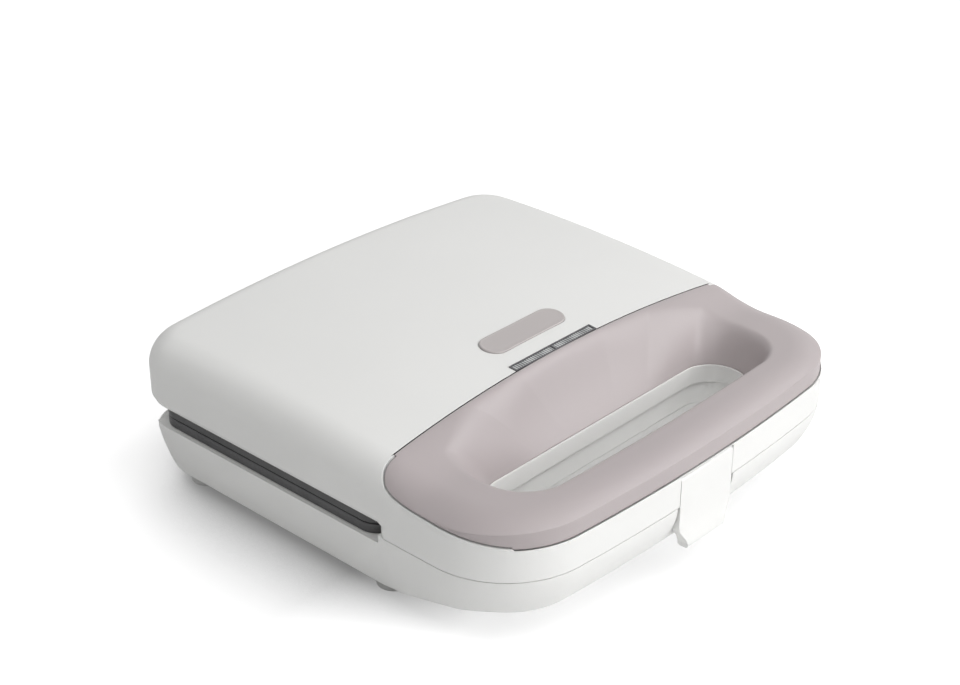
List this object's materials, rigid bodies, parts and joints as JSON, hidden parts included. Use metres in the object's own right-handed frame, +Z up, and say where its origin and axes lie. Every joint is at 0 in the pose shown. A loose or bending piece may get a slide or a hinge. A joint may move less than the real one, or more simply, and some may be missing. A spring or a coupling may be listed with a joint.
{
  "type": "sandwich toaster",
  "caption": "Closed-lid electric sandwich toaster with looped front handle, pink trim, latch, indicator windows and hinged pocket plates.",
  "frame": {"origin": "on the floor, under the middle of the whole object", "axes": "+Z up, -Y to the front (handle and latch), +Y to the hinge and cord entry, +X to the right seen from the front"},
  "size_m": [0.225, 0.2312, 0.0778],
  "materials": {
    "white_plastic": "fine satin moulding",
    "pink_plastic": "satin, dusty pink",
    "plate_metal": "cast, dark non-stick coat",
    "sheet_metal": "thin bright sheet",
    "tube_metal": "heating tube",
    "pin_metal": "drawn steel",
    "lens_plastic": "clear ribbed window",
    "dark_plastic": "black",
    "lamp_glass": "small glow lamp",
    "board": "lamp carrier",
    "foot_rubber": "matte",
    "wire_sleeve": "woven glass sleeve",
    "terminal_plastic": "terminal block",
    "label_foil": "plain foil, left bare"
  },
  "bodies": {
    "base": {"base_shell": "white_plastic", "bottom_cover": "white_plastic", "foot_front_left": "foot_rubber", "foot_front_right": "foot_rubber", "foot_rear_left": "foot_rubber", "foot_rear_right": "foot_rubber", "lower_plate": "plate_metal", "lower_element": "tube_metal", "lower_clamps": "pin_metal", "lower_reflector": "sheet_metal", "thermostat": "pin_metal", "thermal_fuse": "pin_metal", "terminal_block": "terminal_plastic", "base_wiring": "wire_sleeve", "cord_gland": "white_plastic", "cover_screws": "pin_metal", "rating_label": "label_foil", "hinge_pin_left": "pin_metal", "hinge_pin_right": "pin_metal"},
    "lid": {"lid_shell": "white_plastic", "handle_trim": "pink_plastic", "badge": "pink_plastic", "window_bezel": "dark_plastic", "lens_left": "lens_plastic", "lens_right": "lens_plastic", "lamp_left": "lamp_glass", "lamp_right": "lamp_glass", "lamp_holder": "board", "upper_plate": "plate_metal", "upper_element": "tube_metal", "upper_clamps": "pin_metal", "upper_reflector": "sheet_metal", "lid_wiring": "wire_sleeve", "handle_screws": "pin_metal", "latch_pin": "pin_metal"},
    "latch": {"latch_clip": "white_plastic"}
  },
  "joints": [
    {"name": "lid_hinge", "type": "hinge", "parent": "base", "child": "lid", "pos_m": [0, 0.1066, 0.038], "axis": [-1, 0, 0], "range_deg": [0, 100]},
    {"name": "latch_pivot", "type": "hinge", "parent": "lid", "child": "latch", "pos_m": [0, -0.1117, 0.0488], "axis": [-1, 0, 0], "range_deg": [0, 35]}
  ]
}
